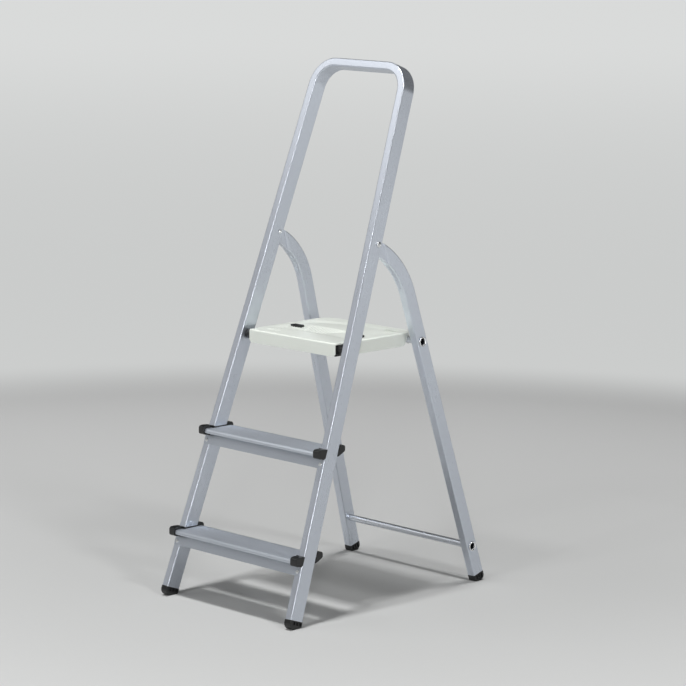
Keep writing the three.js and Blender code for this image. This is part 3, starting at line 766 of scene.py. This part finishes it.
def make_feet(name, side):
    make_foot("front", name, side, STILE[name], STILE_WIDTH, STILE_DEPTH, FRONT_CUT, math.tan(FRONT_LEAN),
              [0, 15, 3, 0], (7.5, 37.0, 4.2), "front_frame")
    make_foot("rear", name, side, LEG[name], LEG_WIDTH, LEG_DEPTH, REAR_CUT, -math.tan(REAR_LEAN),
              [0, 3, 13, 0], (4.0, 27.0, 4.0), "rear_frame")


# ------------------------------------------------------------------------------------------------
# Rear frame

DENT_FROM, DENT_TO, DENT_DEPTH, DENT_HALF = math.radians(2), math.radians(35), 4.2, 6.5
ARM_STEPS = 44


def leg_section(inset=0.0):
    """The leg's section, with extra points on the front face where the bend has drawn it in."""
    outline = section(LEG_WIDTH, LEG_DEPTH, LEG_ROUND, inset)
    front = [Vector((a, inset)) for a in (4, 5.5, 7, 8.2, 9.4, 11, 12.6, 13.8, 15, 16.5, 18)]
    corner = next(i for i, (a, t) in enumerate(outline) if t < inset + 1e-6 and a < LEG_WIDTH / 2)
    return outline[:corner + 1] + front + outline[corner + 1:]


def drawn_in(a, t, angle):
    """How far the front face is pulled in, beside the middle of the inner bend."""
    if t > 3 or not DENT_FROM < angle < DENT_TO:
        return 0.0
    along = math.sin(math.pi * (angle - DENT_FROM) / (DENT_TO - DENT_FROM)) ** 0.8
    off = abs(a - LEG_WIDTH / 2) / DENT_HALF
    return DENT_DEPTH * along * math.cos(math.pi / 2 * off) ** 2 if off < 1 else 0.0


def leg_stations(side):
    def straight(z):
        return lambda a, t: (-side * a, t, z)

    def bent(angle):
        centre = LEG_DEPTH - ARM_RADIUS

        def at(a, t):
            reach = ARM_RADIUS - LEG_DEPTH + t + drawn_in(a, t, angle)
            return (-side * a, centre + reach * math.cos(angle), ARM_START + reach * math.sin(angle))
        return at

    return [straight(REAR_CUT)] + [bent(ARM_END * step / ARM_STEPS) for step in range(ARM_STEPS + 1)]


def crease_tool(face, towards, place):
    """What the press takes away beside the tongue."""
    step = (LEG_WIDTH - TONGUE) / 2
    outline = [(face - towards * 5, -140), (face + towards * step, -140), (face + towards * step, CREASE),
               (face - towards * 0.2, CREASE + CREASE_RUN), (face - towards * 5, CREASE + CREASE_RUN)]
    rings = [[(x, y, z) for x, y in outline] for z in (ARM_START + 20, ARM_START + 240)]
    return new_mesh("crease_tool", *loft(rings), place)


def make_leg(name, side):
    place = LEG[name]
    rings = [[station(a, t) for a, t in leg_section()] for station in leg_stations(side)]
    leg = new_mesh(f"rear_leg_{name}_tube", *loft(rings), place)
    x0, x1 = across(side, 0, LEG_WIDTH)
    tools = [crease_tool(x0, 1, place), crease_tool(x1, -1, place)]
    for along in (LOWER_TUBE_ALONG, UPPER_TUBE_ALONG):
        hole = [(0, -300), (TUBE_RADIUS + 0.1, -300), (TUBE_RADIUS + 0.1, 300), (0, 300)]
        tools.append(lathe("tube_hole", hole, REAR @ shift(0, TUBE_DEPTH, along), 40))
    carve(leg, *tools)
    finished(settle(leg, tools), "rear_alloy", "rear_frame", f"rear_leg_{name}")


def make_cross_tube(name, along):
    """A tube through both legs, its ends flared over the legs' outer faces."""
    face = REAR_HALF - REAR_TAPER * along + 0.7
    bore = TUBE_RADIUS - TUBE_WALL
    flare = [(TUBE_RADIUS, -1.2), (9.2, 0.1), (11.4, 0.3), (12.0, 0.8), (11.9, 1.5), (11.2, 2.1),
             (10.2, 2.2), (9.3, 1.6), (8.6, 0.4), (7.6, -1.6), (bore, -4.5)]
    end = [(radius, face + past) for radius, past in flare]
    half = [(TUBE_RADIUS, 0.0), *end, (bore, 0.0)]
    mirrored = [(r, -x) for r, x in reversed(end)]
    place = REAR @ shift(0, TUBE_DEPTH, along)
    tube = lathe(f"{name}_flared", half + mirrored, place, 56, closed=True)
    settle(tube, angle=50)
    axis = place.to_translation() * MM
    reach = [(vert.co - axis).yz.length / MM for vert in tube.data.vertices]
    # where the bore's painted shade and the flared rim's painted highlight go
    painted_light_marks = {"bore": [r < TUBE_RADIUS - 0.2 for r in reach], "rim": [r > TUBE_RADIUS + 0.5 for r in reach]}
    for mark, values in painted_light_marks.items():
        tube.data.attributes.new(mark, "FLOAT", "POINT").data.foreach_set("value", values)
    finished(tube, "tube_alloy", "rear_frame", name)


# ------------------------------------------------------------------------------------------------
# Treads and their end caps


RIB_PITCH, RIB_HEIGHT = 3.1, 0.75


def stile_front(w):
    """Where the stiles' front plane is, w above the deck."""
    return w * math.tan(FRONT_LEAN)


def square_off(distance):
    """A distance square to the stiles, measured level."""
    return distance / math.cos(FRONT_LEAN)


def tread_outline():
    def apron(w, layer):
        return (stile_front(w) - square_off(layer), w)

    lip = -NOSE_REACH
    points = [
        (lip + 3.2, 0), (lip, -NOSE_HEIGHT * 0.6), (lip + 0.6, -NOSE_HEIGHT), (lip + 4.5, -NOSE_HEIGHT),
        (lip + 4.5, -NOSE_HEIGHT + 3), (lip + 2.4, -NOSE_HEIGHT + 3), (lip + 2.4, -TREAD_SKIN),
        apron(-TREAD_SKIN, TREAD_SKIN + GAP), apron(-APRON_DROP, TREAD_SKIN + GAP), apron(-APRON_DROP, GAP),
        apron(-TREAD_SKIN, GAP), (TREAD_BACK - TREAD_SKIN, -TREAD_SKIN), (TREAD_BACK - TREAD_SKIN, -14),
        (TREAD_BACK, -14), (TREAD_BACK, 0),
    ]
    radii = [2.2, 6, 1.6, 0.5, 0.5, 0.5, 0.8, 1, 0.7, 0.5, 0.8, 1, 0.5, 0.5, 1.6]
    return rounded(points, radii, 5)


def outside(side, half):
    """An x span from a half width to past the side of the stool."""
    return (half, BEYOND) if side > 0 else (-BEYOND, -half)


def make_tread(name):
    place = DECK[name]
    along = deck_along(name)
    apron_half = stile_outer(along) - 1
    nose_half = stile_outer(along) - NOSE_INSET
    deck_half = stile_inner(along) - STRIP - 2 * GAP
    deck_front = stile_front(0) - square_off(TREAD_SKIN + GAP)
    tread = prism(f"{name}_tread_board", tread_outline(), -apron_half, apron_half, place)
    tools = []
    for side in SIDES.values():
        n0, n1 = outside(side, nose_half)
        d0, d1 = outside(side, deck_half)
        tools.append(block("nose_trim", (n0, -60, CAP_BOTTOM - 3 - GAP), (n1, 80, 10), place))
        tools.append(block("deck_trim", (d0, deck_front, -30), (d1, 80, 10), place))
    carve(tread, *tools)
    settle(tread, tools)
    first = -NOSE_REACH + 5.4
    count = int((TREAD_BACK - 2.2 - first) / RIB_PITCH)
    on_nose = sum(first + i * RIB_PITCH < deck_front - 1.2 for i in range(count))
    outline = rounded(
        [(-1.0, -0.4), (1.0, -0.4), (0.6, RIB_HEIGHT), (-0.6, RIB_HEIGHT)], [0, 0, 0.35, 0.35], 3)
    turned_only = place.to_3x3().to_4x4()
    rows = []
    runs = (
        ("nose_ribs", nose_half, on_nose, first),
        ("deck_ribs", deck_half, count - on_nose, first + on_nose * RIB_PITCH),
    )
    for label, half, number, start in runs:
        bar = prism("bar", outline, -half + 0.4, half - 0.4, turned_only)
        rows.append(row_of(
            label, bar, "tread_alloy", number, (0, RIB_PITCH, 0), (0, start, 0), place=place))
    finished(merge(tread.name, tread, *rows), "tread_alloy", "front_frame", f"{name}_tread")


def cap_outline():
    front = -NOSE_REACH - 2.6
    points = [
        (front, 6.2), (front, CAP_BOTTOM + 1), (-12, CAP_BOTTOM - 0.5), (-9, CAP_BOTTOM - 3.0),
        (6, CAP_BOTTOM - 3.0), (41, CAP_BOTTOM - 2), (62, -7), (62, 7.6), (44, 7.6), (41, 2.8), (3, 2.8),
        (0, 5.6), (-15, 7.0),
    ]
    return rounded(points, [6.5, 6.0, 1, 1, 1, 3, 5, 6.5, 1.5, 1, 1, 1.5, 5], 6)


def make_cap(tread, name, side):
    along = deck_along(tread)
    place = DECK[tread]
    outer = stile_outer(along) + 2.6
    inner = stile_inner(along) - STRIP - GAP
    x0, x1 = (inner, outer) if side > 0 else (-outer, -inner)
    cap = prism(f"{tread}_cap_{name}_moulding", cap_outline(), x0, x1, place)
    soften(cap, 1.6, 4, 40)
    s0, s1 = across(side, -20, STILE_WIDTH + GAP)
    stile = block("stile_room", (s0, -GAP, 0), (s1, STILE_DEPTH + GAP, 600), STILE[name])
    nose_end = stile_outer(along) - NOSE_INSET + GAP
    n0, n1 = (inner - 5, nose_end) if side > 0 else (-nose_end, -inner + 5)
    nose = block("nose_room", (n0, -60, -60), (n1, -square_off(TREAD_SKIN), 20), place)
    t0, t1 = outside(side, stile_outer(along) - 0.5)
    tail = block("tail_room", (t0, 20, -60), (t1, 90, 40), place)
    layer = square_off(TREAD_SKIN + 2 * GAP)
    room = [(stile_front(-60) - layer, -60), (stile_front(-60) + 2, -60),
            (stile_front(CAP_BOTTOM) + 2, CAP_BOTTOM), (stile_front(CAP_BOTTOM) - layer, CAP_BOTTOM)]
    a0 = inner - 20 if side > 0 else -inner - 40
    apron = prism("apron_room", room, a0, a0 + 60, place)
    tools = [stile, nose, tail, apron]
    carve(cap, *tools)
    finished(settle(cap, tools), "plastic", "front_frame", f"{tread}_tread_cap_{name}")


def make_tread_rivets(tread):
    """One domed rivet at each end of the apron, square to the stile."""
    along = (TREADS[tread] - APRON_DROP + 8.5) / math.cos(FRONT_LEAN)
    for name, side in SIDES.items():
        x = side * (stile_outer(along) - STILE_WIDTH / 2)
        axis = FRONT @ shift(x, 0, along) @ turn(-math.pi / 2, "Z")
        rivet = lathe(f"{tread}_rivet_{name}_head", dome(4.5, 2.2, TREAD_SKIN + GAP, 0.4), axis, 32)
        finished(settle(rivet), "steel", "front_frame", f"{tread}_tread_rivet_{name}")


# ------------------------------------------------------------------------------------------------
# Platform

PIVOT_Y = PLATFORM_ALONG * math.sin(FRONT_LEAN) + STILE_DEPTH / 2 * math.cos(FRONT_LEAN)
PIVOT_Z = PLATFORM_ALONG * math.cos(FRONT_LEAN) - STILE_DEPTH / 2 * math.sin(FRONT_LEAN)
SADDLE_Y = REAR_FOOT_Y + TUBE_DEPTH * math.cos(REAR_LEAN) - UPPER_TUBE_ALONG * math.sin(REAR_LEAN)
SADDLE_Z = UPPER_TUBE_ALONG * math.cos(REAR_LEAN) + TUBE_DEPTH * math.sin(REAR_LEAN)
TRAY_BOTTOM = PLATFORM_TOP - TRAY_HEIGHT
TRAY_COLUMNS, RIM_STEPS = 96, 5
BAND_RISE, FRONT_BAND_Y, BACK_BAND_Y = 2.8, 300.0, 462.0
GRIP_START, GRIP_STEP, GRIP_COUNT = (-126, 316), (8.4, 0, 0), 17
GRIP_ROW_STEP, GRIP_ROWS = (4.2, 8.2, 0), 9
BAR_STARTS, BAR_STEP, BAR_COUNT = ((-112, 262), (88, 454)), (9, 0, 0), 4


def smooth_step(value, low, high):
    t = min(1.0, max(0.0, (value - low) / (high - low)))
    return t * t * (3 - 2 * t)


def relief(x, y):
    """The pressed field: sunk between a front band and a rear arc, faded towards the edges."""
    front = FRONT_BAND_Y - 0.00035 * x * x
    back = BACK_BAND_Y - 0.0016 * (x - 35) ** 2
    inside = smooth_step(y, front - 12, front + 12) * (1 - smooth_step(y, back - 12, back + 12))
    sides = 1 - smooth_step(abs(x), 112, 134)
    return -BAND_RISE * inside * sides


def half_width(y, inset):
    """Half the width of the tray's plan at y, less an inset."""
    middle = PLATFORM_FRONT + FLANGE_START + inset
    shoulder = smooth_step(y, middle - 1, middle + 1)
    half = PLATFORM_FRONT_HALF + (PLATFORM_HALF - PLATFORM_FRONT_HALF) * shoulder - inset
    back, corner = PLATFORM_BACK - inset, TRAY_CORNER - inset
    into = y - (back - corner)
    if into <= 0:
        return half
    return half - corner + math.sqrt(max(0.0, corner ** 2 - into ** 2))


def tray_rows(inset):
    """y of each row of the top, closer together in the rear corners."""
    front, back, corner = PLATFORM_FRONT + inset, PLATFORM_BACK - inset, TRAY_CORNER - inset
    shoulder = PLATFORM_FRONT + FLANGE_START + inset
    rows = [front + (shoulder - 1 - front) * i / 9 for i in range(9)]
    rows += [shoulder + d for d in (-1, -0.5, 0, 0.5)]
    rows += [shoulder + 1 + (back - corner - shoulder - 1) * i / 64 for i in range(64)]
    return rows + [back - corner + corner * math.sin(math.pi / 2 * i / 18) for i in range(19)]


def tray_loop(inset, z, rows, columns):
    """The boundary of the plan, once round, in step with the top's own boundary."""
    def point(i, j):
        half = half_width(rows[i], inset)
        return (-half + 2 * half * j / columns, rows[i], z)

    last = len(rows) - 1
    loop = [point(0, j) for j in range(columns)]
    loop += [point(i, columns) for i in range(last)]
    loop += [point(last, j) for j in range(columns, 0, -1)]
    return loop + [point(i, 0) for i in range(last, 0, -1)]


def tray_body(name):
    """Top with its relief, a round rim, the flanges and the sheet's inner face."""
    columns = TRAY_COLUMNS
    rows = tray_rows(TRAY_ROUND)
    last = len(rows) - 1
    verts, index = [], {}
    for i, y in enumerate(rows):
        half = half_width(y, TRAY_ROUND)
        for j in range(columns + 1):
            x = -half + 2 * half * j / columns
            index[i, j] = len(verts)
            verts.append((x, y, PLATFORM_TOP + relief(x, y)))
    faces = [(index[i, j], index[i, j + 1], index[i + 1, j + 1], index[i + 1, j])
             for i in range(last) for j in range(columns)]
    edge = [index[0, j] for j in range(columns)] + [index[i, columns] for i in range(last)]
    edge += [index[last, j] for j in range(columns, 0, -1)] + [index[i, 0] for i in range(last, 0, -1)]

    def add_loop(inset, z, previous):
        rows_here = tray_rows(inset)
        start = len(verts)
        loop = tray_loop(inset, z, rows_here, columns)
        verts.extend(loop)
        here = list(range(start, start + len(loop)))
        count = len(here)
        faces.extend((previous[k], here[k], here[(k + 1) % count], previous[(k + 1) % count])
                     for k in range(count))
        return here

    for step in range(1, RIM_STEPS + 1):
        angle = math.pi / 2 * step / RIM_STEPS
        fall = TRAY_ROUND * (1 - math.cos(angle))
        edge = add_loop(TRAY_ROUND * (1 - math.sin(angle)), PLATFORM_TOP - fall, edge)
    edge = add_loop(0, TRAY_BOTTOM + 0.4, edge)
    edge = add_loop(0.4, TRAY_BOTTOM, edge)
    edge = add_loop(TRAY_SKIN - 0.3, TRAY_BOTTOM, edge)
    edge = add_loop(TRAY_SKIN, TRAY_BOTTOM + 0.4, edge)
    ceiling, inner_round = PLATFORM_TOP - BAND_RISE - TRAY_SKIN, 2.4
    edge = add_loop(TRAY_SKIN, ceiling - inner_round, edge)
    edge = add_loop(TRAY_SKIN + inner_round, ceiling, edge)
    faces.append(tuple(edge))
    return new_mesh(name, verts, faces, STOOL)


def saddle_tool():
    """The cut-out over the upper cross tube, wider to the front below."""
    drop = TRAY_BOTTOM - 3 - SADDLE_Z
    lead = -drop * math.tan(math.radians(40))
    outline = [(SADDLE_Y - SADDLE_RADIUS * math.cos(a), SADDLE_Z + SADDLE_RADIUS * math.sin(a))
               for a in (math.pi * i / 20 for i in range(21))]
    outline += [(SADDLE_Y + SADDLE_RADIUS, SADDLE_Z + drop),
                (SADDLE_Y - SADDLE_RADIUS - lead, SADDLE_Z + drop)]
    return prism("saddle_tool", outline, -200, 200, STOOL)


def dash_shape():
    """A short raised lozenge of the grip pattern."""
    rings = [[(x * 2.9 * s, y * 1.3 * s, z) for x, y in
              ((math.cos(a), math.sin(a)) for a in (2 * math.pi * i / 10 for i in range(10)))]
             for s, z in ((1.0, -0.3), (1.0, 0.2), (0.72, 0.8))]
    return new_mesh("dash", *loft(rings), Matrix())


def bar_shape():
    """A raised bar that runs front to back."""
    rings = [[(v.x, v.y, z) for v in rounded([(-w, -d), (w, -d), (w, d), (-w, d)], w * 0.9, 3)]
             for w, d, z in ((1.6, 9.0, -0.3), (1.6, 9.0, 0.3), (1.0, 8.4, 0.8))]
    return new_mesh("bar", *loft(rings), Matrix())


def make_tray():
    tray = tray_body("platform_tray_pressing")
    tools = [saddle_tool()]
    for side in SIDES.values():
        x0, x1 = sorted((side * (PLATFORM_FRONT_HALF - 8), side * 170))
        tools.append(block("corner_tool", (x0, PLATFORM_FRONT + TRAY_SKIN, 500),
                           (x1, PLATFORM_FRONT + FLANGE_START, PLATFORM_TOP - TRAY_ROUND), STOOL))
        chamfer = [(PLATFORM_FRONT_HALF - 7, TRAY_BOTTOM - 1), (PLATFORM_FRONT_HALF + 1, TRAY_BOTTOM - 1),
                   (PLATFORM_FRONT_HALF + 1, TRAY_BOTTOM + 7)]
        rings = [[(side * x, y, z) for x, z in chamfer] for y in (PLATFORM_FRONT - 5, PLATFORM_FRONT + 5)]
        tools.append(new_mesh("chamfer_tool", *loft(rings), STOOL))
    carve(tray, *tools)
    settle(tray, tools, 30)
    dashes = row_of("grip", dash_shape(), "enamel", GRIP_COUNT, GRIP_STEP,
                    (*GRIP_START, PLATFORM_TOP - BAND_RISE + 0.1), GRIP_ROWS, GRIP_ROW_STEP, STOOL)
    bars = [row_of("bars", bar_shape(), "enamel", BAR_COUNT, BAR_STEP,
                   (*start, PLATFORM_TOP + 0.05), place=STOOL) for start in BAR_STARTS]
    finished(merge(tray.name, tray, dashes, *bars), "enamel", "platform", "platform_tray")


def make_plug(name, side):
    """A snap-in plug: pillowed oval head and a neck through the sheet."""
    rings = []
    for inset, z in ((0.0, 0.2), (0.0, 0.9), (0.5, 1.6), (1.5, 2.05), (4.0, 2.3)):
        half_x, half_y = PLUG_LENGTH / 2 - inset, PLUG_WIDTH / 2 - inset
        corners = [(-half_x, -half_y), (half_x, -half_y), (half_x, half_y), (-half_x, half_y)]
        rings.append([(x, y, PLATFORM_TOP + z) for x, y in rounded(corners, 8.2 - inset, 8)])
    neck = [(x, y, PLATFORM_TOP - 5.5) for x, y in
            rounded([(-14.5, -6.5), (14.5, -6.5), (14.5, 6.5), (-14.5, 6.5)], 3, 8)]
    place = STOOL @ shift(side * PLUG_X, PLUG_Y, 0)
    plug = new_mesh(f"platform_plug_{name}_cap", *loft([neck] + rings), place)
    finished(settle(plug, angle=50), "plastic", "platform", f"platform_plug_{name}")


def make_pivot_block(name, side):
    """The black block in the tray's front corner, with the round boss that turns in the stile."""
    flush = PLATFORM_FRONT_HALF - 0.2
    front = PLATFORM_FRONT + TRAY_SKIN + GAP
    top = PLATFORM_TOP - TRAY_ROUND - GAP

    def span(a, b):
        return sorted((side * a, side * b))

    (h0, h1), (b0, b1) = span(flush - 33, flush), span(flush - 33, flush - TRAY_SKIN - 1.8)
    head = block("head", (h0, front, TRAY_BOTTOM + 1), (h1, PLATFORM_FRONT + FLANGE_START - GAP, top), STOOL)
    soften(head, 1.0)
    body = block("body", (b0, front + 0.8, TRAY_BOTTOM + 1.4), (b1, PLATFORM_FRONT + 44, top - 0.4), STOOL)
    soften(body, 0.8)
    end = stile_inner(PLATFORM_ALONG)
    profile = [(0, flush - 4), (11.2, flush - 4), (11.2, end - 1.8), (10.4, end - 1), (6, end - 1),
               (6, end + 7), (5, end + 8), (0, end + 8)]
    axis = STOOL @ shift(0, PIVOT_Y, PIVOT_Z) @ turn(0 if side > 0 else math.pi, "Z")
    boss = lathe("boss", profile, axis, 48)
    pieces = [settle(head), settle(body), settle(boss)]
    finished(settle(merge(f"platform_block_{name}_moulding", *pieces)), "plastic", "platform",
             f"platform_pivot_block_{name}")
    rivet_axis = STOOL @ shift(0, PLATFORM_FRONT + 37, PIVOT_Z) @ turn(0 if side > 0 else math.pi, "Z")
    rivet = lathe(f"platform_rivet_{name}_head", dome(4.0, 1.8, PLATFORM_HALF + 0.1, 0.4), rivet_axis, 32)
    finished(settle(rivet), "steel", "platform", f"platform_block_rivet_{name}")


# ------------------------------------------------------------------------------------------------
# Assembly

make_front_tube()
for name, side in SIDES.items():
    make_hinge(name, side)
    make_feet(name, side)
    make_leg(name, side)
    make_pivot_block(name, side)
    make_plug(name, side)
for tread in TREADS:
    make_tread(tread)
    make_tread_rivets(tread)
    for name, side in SIDES.items():
        make_cap(tread, name, side)
make_cross_tube("lower_cross_tube", LOWER_TUBE_ALONG)
make_cross_tube("upper_cross_tube", UPPER_TUBE_ALONG)
make_tray()

HIDDEN_TRIM = {"washer": "nylon", "spacer": "steel"}
for node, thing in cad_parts.items():
    for word, finish in HIDDEN_TRIM.items():
        if word in node:
            for material_slot in thing.material_slots:
                material_slot.material = FINISHES[finish]
